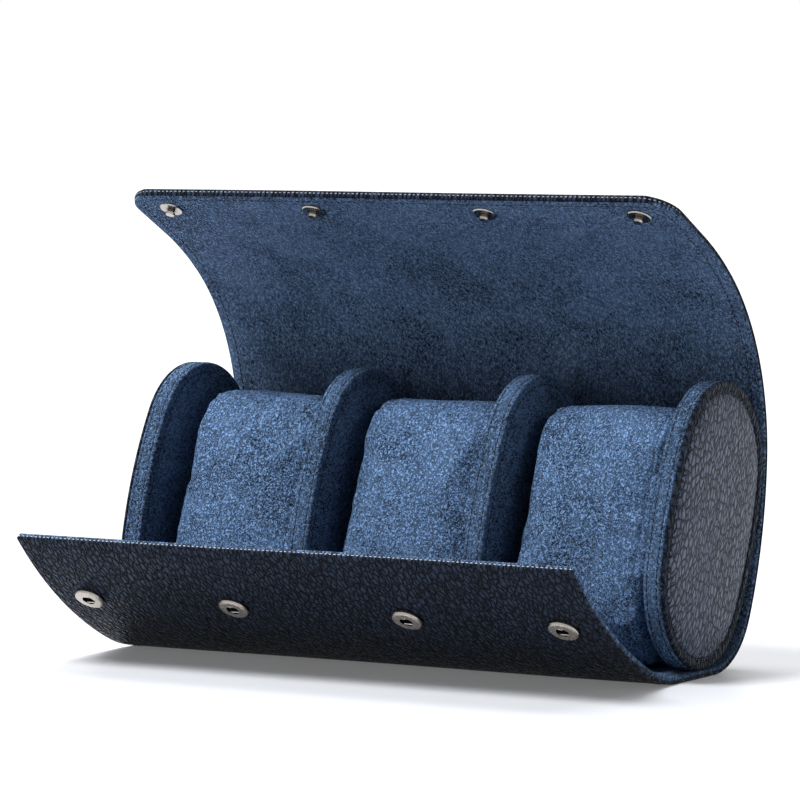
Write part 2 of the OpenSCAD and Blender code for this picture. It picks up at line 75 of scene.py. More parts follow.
class Link:
    """A socket of a node tree whose arithmetic adds Math nodes."""

    def __init__(self, tree: "Tree", socket: bpy.types.NodeSocket) -> None:
        """Args: tree: the tree that the socket is in. socket: the output to wrap."""
        self.tree = tree
        self.socket = socket

    def _math(self, operation: str, *values: "Link | float") -> "Link":
        """Returns the result of a Math node on these values."""
        return self.tree.node("ShaderNodeMath", {"operation": operation}, dict(enumerate(values)))

    def __add__(self, other: "Link | float") -> "Link":
        """Returns the sum."""
        return self._math("ADD", self, other)

    def __sub__(self, other: "Link | float") -> "Link":
        """Returns the difference."""
        return self._math("SUBTRACT", self, other)

    def __rsub__(self, other: float) -> "Link":
        """Returns the difference, with a plain number first."""
        return self._math("SUBTRACT", other, self)

    def __mul__(self, other: "Link | float") -> "Link":
        """Returns the product."""
        return self._math("MULTIPLY", self, other)

    def __or__(self, other: "Link") -> "Link":
        """Returns the larger value, which is either of two where both are 0 or 1."""
        return self._math("MAXIMUM", self, other)

    __radd__ = __add__
    __rmul__ = __mul__


class Tree:
    """A node tree and the one method that adds nodes to it."""

    def __init__(self, tree: bpy.types.NodeTree) -> None:
        """Args: tree: the tree to add to, which is emptied first."""
        self.tree = tree
        tree.nodes.clear()

    def node(
        self,
        kind: str,
        settings: dict | None = None,
        inputs: dict | None = None,
        out: int | str = 0,
    ) -> Link | None:
        """Adds one node.

        Args:
            kind: the node's type.
            settings: properties of the node; "stops" fills a colour ramp.
            inputs: values or links, by the input's name or number.
            out: the output to return.

        Returns:
            The wrapped output, or None where the node has none.
        """
        made = self.tree.nodes.new(kind)
        for key, value in (settings or {}).items():
            if key == "stops":
                self._fill_ramp(made.color_ramp, value)
            else:
                setattr(made, key, value)
        for key, value in (inputs or {}).items():
            if isinstance(value, Link):
                self.tree.links.new(value.socket, made.inputs[key])
            else:
                made.inputs[key].default_value = value
        return Link(self, made.outputs[out]) if len(made.outputs) else None

    @staticmethod
    def _fill_ramp(ramp: bpy.types.ColorRamp, stops: Sequence[Flat]) -> None:
        """Sets a ramp's stops.

        Args:
            ramp: the ramp of a new node.
            stops: places and grey levels, in order.
        """
        while len(ramp.elements) < len(stops):
            ramp.elements.new(1.0)
        for element, (place, level) in zip(ramp.elements, stops):
            element.position = place
            element.color = grey(level)

    def mix(self, factor: Link, first: Colour, second: Colour) -> Link:
        """Returns a colour between two colours."""
        settings = {"data_type": "RGBA", "clamp_factor": True}
        return self.node("ShaderNodeMix", settings, {0: factor, 6: first, 7: second}, out=2)

    def noise(self, where: Link, scale: float, detail: float, distortion: float = 0.0) -> Link:
        """Returns a noise value from 0 to 1 at the coordinates given."""
        inputs = {"Vector": where, "Scale": scale, "Detail": detail, "Distortion": distortion}
        return self.node("ShaderNodeTexNoise", inputs=inputs)

    def ramp(self, value: Link, *stops: Flat) -> Link:
        """Returns the value after a ramp with the given stops."""
        return self.node("ShaderNodeValToRGB", {"stops": stops}, {0: value})

    def place(self, turn: float = 0.0, stretch: float = 1.0, uv: bool = False) -> Link:
        """Returns texture coordinates in metres.

        Args:
            turn: angle about the third axis, in degrees.
            stretch: scale along the second axis, less than 1 to draw a pattern out.
            uv: True for the piece's own UV map, False for object coordinates.

        Returns:
            The coordinates.
        """
        source = self.node("ShaderNodeTexCoord", out="UV" if uv else "Object")
        inputs = {
            "Vector": source,
            "Rotation": (0, 0, math.radians(turn)),
            "Scale": (1.0, stretch, 1.0),
        }
        return self.node("ShaderNodeMapping", inputs=inputs)

    def surface(self, look: dict, relief: dict | None = None) -> None:
        """Ends a material in one plain shader.

        Args:
            look: the shader's inputs.
            relief: a Bump node's inputs, where the surface has bumps.
        """
        if relief:
            look = look | {"Normal": self.node("ShaderNodeBump", inputs=relief)}
        shader = self.node("ShaderNodeBsdfPrincipled", inputs=look)
        self.node("ShaderNodeOutputMaterial", inputs={"Surface": shader})


def new_material(name: str) -> tuple[bpy.types.Material, Tree]:
    """Makes an empty node material.

    Args:
        name: the material's name.

    Returns:
        The material and its tree.
    """
    material = bpy.data.materials.new(name)
    material.use_nodes = True
    return material, Tree(material.node_tree)


def grey(level: float) -> Colour:
    """Returns a neutral colour."""
    return (level, level, level, 1.0)


def shade(colour: Point, factor: float) -> Colour:
    """Returns a colour made lighter or darker by a factor."""
    return tuple(min(1.0, c * factor) for c in colour) + (1.0,)


# ---- finishes


@dataclass(frozen=True)
class Suede:
    """Microfibre suede: short brushed nap with lighter and darker strokes, partly its own tone and
    partly painted highlight and shade on the tufts.
    """

    name: str
    colour: Point
    nap_tone_and_highlight: float = 3.1
    nap_tone_and_shade: float = 0.08
    stroke_scale: float = 30.0
    grain_scale: float = 1400.0
    drawn_out: float = 0.55
    relief: float = 0.001
    turn: float = 20.0
    uv: bool = False

    def build(self) -> bpy.types.Material:
        """Builds the material.

        Returns:
            The material.
        """
        material, tree = new_material(self.name)
        where = tree.place(self.turn, uv=self.uv)
        drawn = tree.place(self.turn, self.drawn_out, self.uv)
        patches = tree.noise(where, self.stroke_scale, 3.0, 0.8)
        strokes = tree.noise(drawn, self.stroke_scale * 5.0, 2.0, 1.2)
        tufts = tree.noise(drawn, self.grain_scale, 1.0, 1.2)
        fibres = tree.noise(where, self.grain_scale * 0.45, 1.0)
        # The tufts lighten and darken the colour, partly as random nap tone and partly as painted
        # highlight and shade on each tuft; the same pattern drives the bump.
        grain = tree.ramp(tufts, (0.42, 0.0), (0.5, 0.42), (0.58, 1.0))
        brushed = tree.ramp(patches * 0.62 + strokes * 0.38, (0.36, 0.0), (0.64, 1.0))
        level = grain * 0.66 + brushed * 0.3 + (fibres - 0.5) * 0.3
        height = grain * 0.8 + fibres * 0.25 + brushed * 0.2
        dark, light = shade(self.colour, self.nap_tone_and_shade), shade(self.colour, self.nap_tone_and_highlight)
        look = {
            "Base Color": tree.mix(level, dark, light),
            "Roughness": 0.92,
            "Specular IOR Level": 0.12,
            "Sheen Weight": 0.2,
            "Sheen Roughness": 0.4,
            "Sheen Tint": (0.3, 0.55, 1.0, 1.0),
        }
        tree.surface(look, {"Strength": 1.0, "Distance": self.relief, "Height": height})
        return material


@dataclass(frozen=True)
class PebbledLeather:
    """Grained leather: rounded pebbles drawn out in one direction, with painted shade in the
    creases and painted highlight on the crests.
    """

    name: str
    colour: Point
    # The next two factors paint shade into the creases and a highlight onto the pebbles' crests.
    crease_shade: float = 0.06
    lift: float = 2.25
    pebble_scale: float = 540.0
    turn: float = -32.0
    drawn_out: float = 0.46
    wander: float = 0.0008
    roughness: float = 0.34
    gloss: float = 0.06
    relief: float = 0.0014

    def build(self) -> bpy.types.Material:
        """Builds the material.

        Returns:
            The material.
        """
        material, tree = new_material(self.name)
        where = tree.place(self.turn, self.drawn_out, True)
        inputs = {"Vector": where, "Scale": self.pebble_scale * 0.7, "Detail": 2.0}
        wobble = tree.node("ShaderNodeTexNoise", inputs=inputs, out="Color")
        inputs = {0: wobble, 1: (self.wander,) * 3, 2: where}
        bent = tree.node("ShaderNodeVectorMath", {"operation": "MULTIPLY_ADD"}, inputs)
        inputs = {"Vector": bent, "Scale": self.pebble_scale}
        edge = tree.node("ShaderNodeTexVoronoi", {"feature": "DISTANCE_TO_EDGE"}, inputs)
        inputs = inputs | {"Smoothness": 0.6}
        cells = tree.node("ShaderNodeTexVoronoi", {"feature": "SMOOTH_F1"}, inputs)
        fine = tree.noise(where, self.pebble_scale * 4.0, 2.0)
        broad = tree.noise(where, self.pebble_scale * 0.055, 3.0)
        crest = tree.ramp(edge, (0.0, 0.0), (0.07, 0.5), (0.2, 1.0))
        height = crest * 0.75 - cells * 0.6 + fine * 0.12 + broad * 0.3
        # Crests painted lighter and creases darker as painted highlight and shade on the relief;
        # the noise adds the leather's random tone.
        painted_relief_and_tone = crest * 0.5 + broad * 0.3 + fine * 0.2
        level = tree.ramp(painted_relief_and_tone, (0.25, 0.0), (0.78, 1.0))
        dark, light = shade(self.colour, self.crease_shade), shade(self.colour, self.lift)
        look = {
            "Base Color": tree.mix(level, dark, light),
            "Roughness": self.roughness + 0.22 - crest * 0.2 + (broad - 0.5) * 0.2,
            "Specular IOR Level": self.gloss,
        }
        tree.surface(look, {"Strength": 1.0, "Distance": self.relief, "Height": height})
        return material


@dataclass(frozen=True)
class Metal:
    """Plated snap metal, a little worn and handled, with painted shade darkening its corners and
    recesses.
    """

    name: str
    colour: Point
    roughness: float
    # Reach of the ambient occlusion that paints shade into the corners and recesses.
    corner: float = 0.006

    def build(self) -> bpy.types.Material:
        """Builds the material.

        Returns:
            The material.
        """
        material, tree = new_material(self.name)
        where = tree.place()
        wear = tree.noise(where, 900.0, 3.0)
        fine = tree.noise(where, 5200.0, 2.0)
        # Ambient occlusion darkens the base colour in corners and recesses as painted shade; the
        # wear noise adds some real wear.
        inputs = {"Distance": self.corner}
        open_sky = tree.node("ShaderNodeAmbientOcclusion", {"samples": 6}, inputs, out="AO")
        wear_and_painted_shade = tree.ramp(open_sky * 0.8 + wear * 0.2, (0.42, 0.0), (0.84, 1.0))
        look = {
            "Base Color": tree.mix(wear_and_painted_shade, shade(self.colour, 0.08), shade(self.colour, 1.5)),
            "Metallic": 1.0,
            "Roughness": wear * 0.18 + (self.roughness - 0.09),
        }
        tree.surface(look, {"Strength": 0.12, "Distance": 0.0001, "Height": fine + wear})
        return material


@dataclass(frozen=True)
class Thread:
    """Waxed sewing thread with a fine twist."""

    name: str
    colour: Point
    roughness: float = 0.55

    def build(self) -> bpy.types.Material:
        """Builds the material.

        Returns:
            The material.
        """
        material, tree = new_material(self.name)
        twist = tree.noise(tree.place(), 3600.0, 1.0)
        look = {
            "Base Color": tree.mix(twist, shade(self.colour, 0.6), shade(self.colour, 1.5)),
            "Roughness": self.roughness,
            "Specular IOR Level": 0.12,
        }
        tree.surface(look)
        return material


class Finish(Enum):
    """The finishes of the roll."""

    WRAP_LEATHER = PebbledLeather("pebbled navy leather", (0.0074, 0.0116, 0.0208))
    CAP_LEATHER = PebbledLeather(
        "pebbled grey leather", (0.058, 0.073, 0.108), crease_shade=0.2, lift=1.95, turn=38.0, gloss=0.2
    )
    WRAP_SUEDE = Suede("lining suede", (0.047, 0.075, 0.128), uv=True)
    WALL_SUEDE = Suede("wall suede", (0.043, 0.075, 0.134), turn=70.0, stroke_scale=40.0)
    CUSHION_SUEDE = Suede("cushion suede", (0.064, 0.112, 0.203), turn=60.0, stroke_scale=32.0)
    SNAP_METAL = Metal("worn nickel", (0.3, 0.275, 0.25), 0.26)
    SPRING = Metal("bright wire", (0.5, 0.48, 0.45), 0.25)
    DARK_THREAD = Thread("dark thread", (0.006, 0.008, 0.013))
    CUSHION_THREAD = Thread("cushion thread", (0.03, 0.052, 0.09))
    EDGE_THREAD = Thread("edge thread", (0.36, 0.4, 0.46), 0.4)
    RIM_THREAD = Thread("rim thread", (0.2, 0.23, 0.29), 0.45)

    def material(self) -> bpy.types.Material:
        """Returns the finish's material, built once."""
        return bpy.data.materials.get(self.value.name) or self.value.build()


# ---- meshes


def linked(name: str, data: bpy.types.ID) -> bpy.types.Object:
    """Puts data into the scene.

    Args:
        name: the object's name.
        data: its mesh, lamp or camera.

    Returns:
        The object that shows the data.
    """
    obj = bpy.data.objects.new(name, data)
    bpy.context.scene.collection.objects.link(obj)
    return obj


def mesh_object(
    name: str,
    points: Sequence[Point],
    faces: Sequence[Sequence[int]],
    finish: Finish,
    uv: Sequence[Flat] = (),
) -> bpy.types.Object:
    """Makes a smooth mesh object at the origin.

    Args:
        name: the piece's name.
        points: its vertices.
        faces: its faces, as vertex numbers.
        finish: its material.
        uv: one flat place for each vertex, in metres, or none.

    Returns:
        The object, linked to the scene.
    """
    mesh = bpy.data.meshes.new(name)
    mesh.from_pydata(points, [], faces)
    if uv:
        layer = mesh.uv_layers.new(name="UVMap")
        corners = np.empty(len(mesh.loops), np.int32)
        mesh.loops.foreach_get("vertex_index", corners)
        layer.data.foreach_set("uv", np.asarray(uv, np.float32)[corners].ravel())
    mesh.polygons.foreach_set("use_smooth", [len(f) == 4 for f in faces])
    obj = linked(name, mesh)
    mesh.materials.append(finish.material())
    outward(obj)
    return obj


def outward(obj: bpy.types.Object) -> None:
    """Turns the faces of a closed mesh outwards.

    Args:
        obj: the mesh's object.
    """
    work = bmesh.new()
    work.from_mesh(obj.data)
    bmesh.ops.recalc_face_normals(work, faces=work.faces)
    work.to_mesh(obj.data)
    work.free()


def as_made(obj: bpy.types.Object) -> bpy.types.Mesh:
    """Returns a new mesh of the object as its modifiers leave it."""
    graph = bpy.context.evaluated_depsgraph_get()
    return bpy.data.meshes.new_from_object(obj.evaluated_get(graph))


def keep_modifiers(obj: bpy.types.Object) -> None:
    """Turns the object's modifiers into its mesh.

    Args:
        obj: the object, which has no modifiers left afterwards.
    """
    bpy.context.view_layer.update()
    made = as_made(obj)
    obj.modifiers.clear()
    obj.data = made


def smooth(obj: bpy.types.Object) -> None:
    """Shades every face of an object smooth."""
    obj.data.polygons.foreach_set("use_smooth", [True] * len(obj.data.polygons))


def points_of(mesh: bpy.types.Mesh) -> np.ndarray:
    """Returns a mesh's points as rows."""
    return np.array([v.co for v in mesh.vertices], float)


def move_points(obj: bpy.types.Object, places: np.ndarray) -> None:
    """Puts the points of an object's mesh in new places."""
    for vertex, place in zip(obj.data.vertices, places):
        vertex.co = place


def rounded_edge(radius: float, top: float, count: int = 6) -> list[Flat]:
    """Draws a quarter of a circle for the edge of a section.

    Args:
        radius: its radius.
        top: the height of its inner end.
        count: number of points.

    Returns:
        Insets and heights, from the inner end outwards.
    """
    turn = [math.pi / 2 * k / (count - 1) for k in range(count)]
    return [(radius - radius * math.sin(a), top - radius + radius * math.cos(a)) for a in turn]


def tube_faces(rings: int, around: int) -> list[tuple[int, ...]]:
    """Joins rings of points into a closed tube.

    Args:
        rings: number of rings.
        around: points in a ring.

    Returns:
        The faces as vertex numbers, strip by strip, and the two end caps last.
    """
    faces: list[tuple[int, ...]] = []
    for j in range(rings - 1):
        low, high = j * around, (j + 1) * around
        for i in range(around):
            n = (i + 1) % around
            faces.append((low + i, low + n, high + n, high + i))
    faces.append(tuple(range(around - 1, -1, -1)))
    faces.append(tuple(range((rings - 1) * around, rings * around)))
    return faces


def smoothstep(value: np.ndarray | float) -> np.ndarray | float:
    """Returns a smooth rise from 0 to 1 as the value goes from 0 to 1."""
    v = np.clip(value, 0.0, 1.0)
    return v * v * (3.0 - 2.0 * v)


# ---- the wrap's path


@dataclass(frozen=True)
class Stretch:
    """A stretch of the wrap's outer surface: its length, and its radius or 0 if straight."""

    length: float
    radius: float


@dataclass
class WrapPath:
    """The wrap's outer surface seen from the side, from the flap's edge to the lid's."""

    flap: tuple[Stretch, ...] = (
        Stretch(54 * MM, 180 * MM),
        Stretch(27 * MM, 180 * MM),
        Stretch(24 * MM, 61 * MM),
    )
    base: tuple[Stretch, ...] = (
        Stretch(32 * MM, 0.0),
        Stretch(math.radians(65) * 35 * MM, 35 * MM),
        Stretch(62 * MM, 160 * MM),
    )
    lid: tuple[Stretch, ...] = (Stretch(29 * MM, 94 * MM),) * 3 + (
        Stretch(29 * MM, 130 * MM),
        Stretch(36.5 * MM, 0.0),
    )
    base_front: float = 30 * MM
    thickness: float = 3 * MM
    width: float = 250 * MM

    def __post_init__(self) -> None:
        """Works out where each stretch starts."""
        self.stretches = self.flap + self.base + self.lid
        self.starts = [0.0]
        for part in self.stretches:
            self.starts.append(self.starts[-1] + part.length)
        self.total = self.starts[-1]
        place = (-self.base_front, 0.0, 0.0)
        for part in reversed(self.flap):
            place = self._moved(place, -part.length, part.radius)
        self.places = [place]
        for part in self.stretches:
            place = self._moved(place, part.length, part.radius)
            self.places.append(place)

    @staticmethod
    def _moved(place: Point, length: float, radius: float) -> Point:
        """Moves along an arc or a straight.

        Args:
            place: y, z and heading at the start.
            length: how far to move.
            radius: the arc's radius, or 0 for a straight.

        Returns:
            y, z and heading at the end.
        """
        y, z, heading = place
        if not radius:
            return y + length * math.cos(heading), z + length * math.sin(heading), heading
        turned = heading + length / radius
        return (
            y + radius * (math.sin(turned) - math.sin(heading)),
            z - radius * (math.cos(turned) - math.cos(heading)),
            turned,
        )

    def pose(self, s: float) -> Point:
        """Finds a place on the path.

        Args:
            s: length from the flap's edge.

        Returns:
            y, z and heading.
        """
        k = 0
        while k < len(self.stretches) - 1 and s > self.starts[k + 1]:
            k += 1
        return self._moved(self.places[k], s - self.starts[k], self.stretches[k].radius)

    def point(self, x: float, s: float, depth: float) -> Point:
        """Returns the point at x across, s along and a depth below the outer surface."""
        y, z, heading = self.pose(s)
        return (x, y - depth * math.sin(heading), z + depth * math.cos(heading))

    def direction(self, s: float, across: float, along: float) -> Point:
        """Returns a direction on the sheet at s as one in space."""
        heading = self.pose(s)[2]
        return (across, along * math.cos(heading), along * math.sin(heading))


WRAP = WrapPath()


@dataclass(frozen=True)
class Zone:
    """A stretch of the wrap that rides one body, or spans the hinge between two."""

    name: str
    node: str
    start: float
    end: float
    bodies: tuple[str, ...]
    hinge: float = 0.0


def wrap_zones(reach: float = 13 * MM) -> list[Zone]:
    """Cuts the wrap where no hinge lies.

    Args:
        reach: how far the stretch at each edge of the wrap keeps from its hinge.

    Returns:
        The zones in order from the flap's edge, with the nodes that each stands for.
    """
    hinges = WRAP.starts[1:4] + WRAP.starts[6:11]
    bodies = ["flap_3", "flap_2", "flap_1", "case"] + [f"lid_{k}" for k in range(1, 6)]
    halfway = [(a + b) / 2 for a, b in zip(hinges, hinges[1:])]
    cuts = [hinges[0] - reach, *halfway[:2], hinges[2] + reach]
    cuts += [hinges[3] - reach, *halfway[3:], hinges[7] + reach]
    zones = [Zone("flap_edge", "flap_{}_3", 0.0, cuts[0], ("flap_3",))]
    for k, hinge in enumerate(hinges):
        flap = k < 3
        number = 3 - k if flap else k - 2
        side = "flap" if flap else "lid"
        start, end = (cuts[k], cuts[k + 1]) if flap else (cuts[k + 1], cuts[k + 2])
        if k == 3:
            zones.append(Zone("base", "base_{}", cuts[3], cuts[4], ("case",)))
        name, node = f"{side}_fold_{number}", f"{side}_{{}}_{number}"
        zones.append(Zone(name, node, start, end, (bodies[k], bodies[k + 1]), hinge))
    zones.append(Zone("lid_edge", "lid_{}_5", cuts[9], WRAP.total, ("lid_5",)))
    return zones


def settle(obj: bpy.types.Object, zone: Zone, bend: float = 10 * MM) -> None:
    """Makes a piece of the wrap ride its body, or, over a hinge, bakes its place into its mesh.

    Args:
        obj: the piece.
        zone: the stretch of the wrap that it belongs to.
        bend: half the length either side of the hinge at which two points are found.
    """
    if len(zone.bodies) == 1:
        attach(obj, zone.bodies[0])
        return
    near = WRAP.point(0.0, zone.hinge - bend, WRAP.thickness)
    far = WRAP.point(0.0, zone.hinge + bend, WRAP.thickness)
    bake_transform(obj)


# ---- stitches


@dataclass
class StitchRow:
    """Stitches laid on a list of places, each a thread hump along its own direction."""

    length: float = 2.3 * MM
    width: float = 0.5 * MM
    finish: Finish = Finish.DARK_THREAD

    def tree(self) -> bpy.types.NodeTree:
        """Builds the geometry tree, once for all rows.

        Returns:
            The tree, with named inputs for the stitches' sizes and thread.
        """
        found = bpy.data.node_groups.get("stitch_row")
        if found:
            return found
        group = bpy.data.node_groups.new("stitch_row", "GeometryNodeTree")
        for name, kind in (
            ("Places", "NodeSocketGeometry"),
            ("Length", "NodeSocketFloat"),
            ("Width", "NodeSocketFloat"),
            ("Thread", "NodeSocketMaterial"),
        ):
            group.interface.new_socket(name, in_out="INPUT", socket_type=kind)
        group.interface.new_socket("Stitches", in_out="OUTPUT", socket_type="NodeSocketGeometry")
        tree = Tree(group)
        start = group.nodes.new("NodeGroupInput")
        given = {s.name: Link(tree, s) for s in start.outputs if s.name}
        settings = {"data_type": "FLOAT_VECTOR"}
        along = tree.node("GeometryNodeInputNamedAttribute", settings, {"Name": "along"})
        turn = tree.node("FunctionNodeAlignRotationToVector", {"axis": "X"}, {"Vector": along})
        inputs = {"Segments": 8, "Rings": 5, "Radius": 0.5}
        hump = tree.node("GeometryNodeMeshUVSphere", inputs=inputs)
        inputs = {0: given["Length"], 1: given["Width"], 2: given["Width"]}
        size = tree.node("ShaderNodeCombineXYZ", inputs=inputs)
        inputs = {"Points": given["Places"], "Instance": hump, "Rotation": turn, "Scale": size}
        placed = tree.node("GeometryNodeInstanceOnPoints", inputs=inputs)
        real = tree.node("GeometryNodeRealizeInstances", inputs={"Geometry": placed})
        even = tree.node("GeometryNodeSetShadeSmooth", inputs={"Geometry": real})
        inputs = {"Geometry": even, "Material": given["Thread"]}
        dressed = tree.node("GeometryNodeSetMaterial", inputs=inputs)
        tree.node("NodeGroupOutput", inputs={0: dressed})
        return group

    def sew(self, name: str, places: Places) -> bpy.types.Object:
        """Makes one mesh of stitches.

        Args:
            name: the piece's name.
            places: the middle and the direction of each stitch.

        Returns:
            The finished piece.
        """
        mesh = bpy.data.meshes.new(name + "_places")
        mesh.from_pydata([p for p, _ in places], [], [])
        along = mesh.attributes.new("along", "FLOAT_VECTOR", "POINT")
        along.data.foreach_set("vector", np.array([d for _, d in places], np.float32).ravel())
        obj = linked(name, mesh)
        modifier = obj.modifiers.new("stitches", "NODES")
        modifier.node_group = self.tree()
        values = {"Length": self.length, "Width": self.width, "Thread": self.finish.material()}
        for item in modifier.node_group.interface.items_tree:
            if item.name in values:
                modifier[item.identifier] = values[item.name]
        keep_modifiers(obj)
        return obj


def resampled(line: Sequence[Flat], pitch: float) -> list[tuple[Flat, Flat]]:
    """Spreads places evenly round a flat closed line.

    Args:
        line: the line's points, with the first one not repeated.
        pitch: distance wanted between places.

    Returns:
        The places with their directions.
    """
    points = np.array([*line, line[0]], float)
    steps = np.diff(points, axis=0)
    lengths = np.hypot(steps[:, 0], steps[:, 1])
    run = np.concatenate([[0.0], np.cumsum(lengths)])
    count = max(1, round(run[-1] / pitch))
    found = []
    for at in (np.arange(count) + 0.5) * run[-1] / count:
        k = min(int(np.searchsorted(run, at, side="right")) - 1, len(lengths) - 1)
        share = (at - run[k]) / lengths[k]
        found.append((tuple(points[k] + share * steps[k]), tuple(steps[k] / lengths[k])))
    return found


# ---- the wrap


@dataclass(frozen=True)
class Layer:
    """A layer of the wrap between two depths, drawn in from the sheet's edges."""

    name: str
    outer: float
    inner: float
    inset: float
    lid_inset: float
    rounding: float
    finish: Finish
    hidden: tuple[str, ...]


@dataclass
class Wrap:
    """The sheet of the roll: pebbled leather outside and suede inside, sewn at its edges."""

    leather: Layer = Layer(
        "leather", 0.0, 1.3 * MM, 0.0, 0.0, 0.6 * MM, Finish.WRAP_LEATHER, ("leather", "board")
    )
    lining: Layer = Layer(
        "lining", 1.34 * MM, 3.0 * MM, 0.1 * MM, 1.5 * MM, 0.5 * MM, Finish.WRAP_SUEDE, ("lining",)
    )
    lid_corner: float = 14 * MM
    lid_hem_depth: float = 2.85 * MM
    lid_hem: float = 1.4 * MM
    row: float = 2.2 * MM
    edge_rows: tuple[float, ...] = (0.0, 0.12 * MM, 0.35 * MM, 0.7 * MM, 1.2 * MM)
    edge_reach: float = 1.6 * MM
    seam_rows: tuple[float, ...] = (0.35 * MM, 0.7 * MM, 1.2 * MM)
    seam_reach: float = 1.4 * MM
    seam_from_edge: float = 25.5 * MM
    seam_half: float = 96 * MM
    seam_depth: float = 0.35 * MM
    seam_width: float = 0.45 * MM
    wave: float = 0.13 * MM
    calm_reach: float = 40 * MM
    across: int = 44
    stitch_inset: float = 4.6 * MM
    stitch_pitch: float = 2.7 * MM
    stitch_depths: Flat = (0.05 * MM, 2.98 * MM)
    edge_stitch: Flat = (1.3 * MM, 0.42 * MM)
    edge_pitch: float = 2.0 * MM
    edge_depths: Flat = (1.2 * MM, 1.35 * MM)

    def rows(self, zone: Zone) -> list[float]:
        """Spreads rows of points along a zone, closer at its cuts, edges and seam.

        Args:
            zone: the stretch of the wrap.

        Returns:
            The rows' lengths from the flap's edge.
        """
        count = max(2, math.ceil((zone.end - zone.start) / self.row))
        rows = list(np.linspace(zone.start, zone.end, count + 1))
        cut = 0.03 * MM
        rows += [zone.start + cut, zone.end - cut]
        if zone.start == 0.0:
            rows = [*self.edge_rows] + [s for s in rows if s > self.edge_reach]
        if zone.end == WRAP.total:
            turn = [self.lid_corner * (1 - math.cos(a * math.pi / 20)) for a in range(1, 11)]
            edge = [*self.edge_rows] + [t for t in turn if t > self.edge_reach]
            rows = [s for s in rows if s < WRAP.total - self.lid_corner - MM]
            rows += [WRAP.total - e for e in sorted(edge, reverse=True)]
        seam = WRAP.total - self.seam_from_edge
        if zone.start < seam < zone.end:
            rows = [s for s in rows if abs(s - seam) > self.seam_reach]
            rows += [seam - d for d in self.seam_rows] + [seam] + [seam + d for d in self.seam_rows]
        return sorted(rows)

    def ripple(self, x: float, s: float) -> float:
        """Finds how far the sheet bulges in slow waves of soft leather.

        Args:
            x: place across the sheet.
            s: length from the flap's edge.

        Returns:
            The bulge, which is none where the sheet stands on the floor.
        """
        waves = math.sin(31 * x + 17 * s) + 0.7 * math.sin(23 * x - 41 * s + 1.3)
        calm = min(1.0, abs(s - WRAP.starts[4]) / self.calm_reach)
        return self.wave * waves * calm

    def half_width(self, s: float, inset: float, lid_inset: float) -> float:
        """Finds half a layer's width, which is less at the lid's round corners.

        Args:
            s: length from the flap's edge.
            inset: how far the layer is drawn in at its sides.
            lid_inset: how far it is drawn in at the lid's edge.

        Returns:
            Half the width.
        """
        half = WRAP.width / 2 - inset
        left = WRAP.total - lid_inset - s
        corner = self.lid_corner - lid_inset
        if left < corner:
            half += -corner + math.sqrt(max(0.0, corner**2 - (corner - max(left, 0.0)) ** 2))
        return half

    def piece(self, zone: Zone, layer: Layer) -> bpy.types.Object:
        """Builds one layer of one zone as a closed mesh with rounded edges.

        Args:
            zone: the stretch of the wrap.
            layer: the layer of the sheet.

        Returns:
            The piece.
        """
        points: list[Point] = []
        uv: list[Flat] = []
        first = layer.inset
        last = WRAP.total - layer.lid_inset
        rows = [min(max(s, first), last) for s in self.rows(zone)]
        rows = [s for k, s in enumerate(rows) if k == 0 or s > rows[k - 1] + 1e-6]
        seam = WRAP.total - self.seam_from_edge
        for s in rows:
            inner = layer.inner
            if layer is self.leather and s > WRAP.total - self.lid_hem:
                inner = self.lid_hem_depth
            middle = (layer.outer + inner) / 2
            rim = min(s - first, last - s)
            close = 1.0
            if rim < layer.rounding:
                close = math.sqrt(max(0.0, 1 - (1 - rim / layer.rounding) ** 2))
            half = self.half_width(s, layer.inset, layer.lid_inset)
            half -= layer.rounding * (1 - close)
            thick = (inner - layer.outer) / 2 * max(0.25, close)
            for u, depth in self.section(half, middle, thick, layer.rounding):
                if layer is self.lining and depth > middle and abs(u) < self.seam_half:
                    depth -= self.seam_depth * math.exp(-(((s - seam) / self.seam_width) ** 2))
                points.append(WRAP.point(u, s, depth + self.ripple(u, s)))
                uv.append((u, s))
        faces = tube_faces(len(rows), len(points) // len(rows))
        return mesh_object(f"wrap_{layer.name}_{zone.name}", points, faces, layer.finish, uv)

    def section(self, half: float, middle: float, thick: float, rounding: float) -> list[Flat]:
        """Draws the cross-section of a layer.

        Args:
            half: half its width.
            middle: depth of its middle.
            thick: half its thickness.
            rounding: radius of its edges across the width.

        Returns:
            Places across and in depth, once round.
        """
        flat = half - rounding
        turn = [(math.sin(math.pi * k / 8), math.cos(math.pi * k / 8)) for k in range(1, 4)]
        outer = [(x, middle - thick) for x in np.linspace(-flat, flat, self.across)]
        right = [(flat + rounding * t, middle - thick * r) for t, r in turn] + [(half, middle)]
        right += [(x, 2 * middle - d) for x, d in reversed(right[:-1])]
        inner = [(x, middle + thick) for x in np.linspace(flat, -flat, self.across)]
        left = [(-x, d) for x, d in reversed(right)]
        return outer + right + inner + left

    def outline(self, inset: float) -> list[Flat]:
        """Draws the outline of the sheet.

        Args:
            inset: how far it is drawn in.

        Returns:
            Places across and along, once round.
        """
        half = WRAP.width / 2 - inset
        end = WRAP.total - inset
        radius = max(self.lid_corner - inset, 0.5 * MM)
        arc = [math.pi / 2 * k / 8 for k in range(9)]
        right = [
            (half - radius + radius * math.cos(a), end - radius + radius * math.sin(a)) for a in arc
        ]
        left = [(-x, s) for x, s in reversed(right)]
        return [(-half, inset), (half, inset)] + right + left

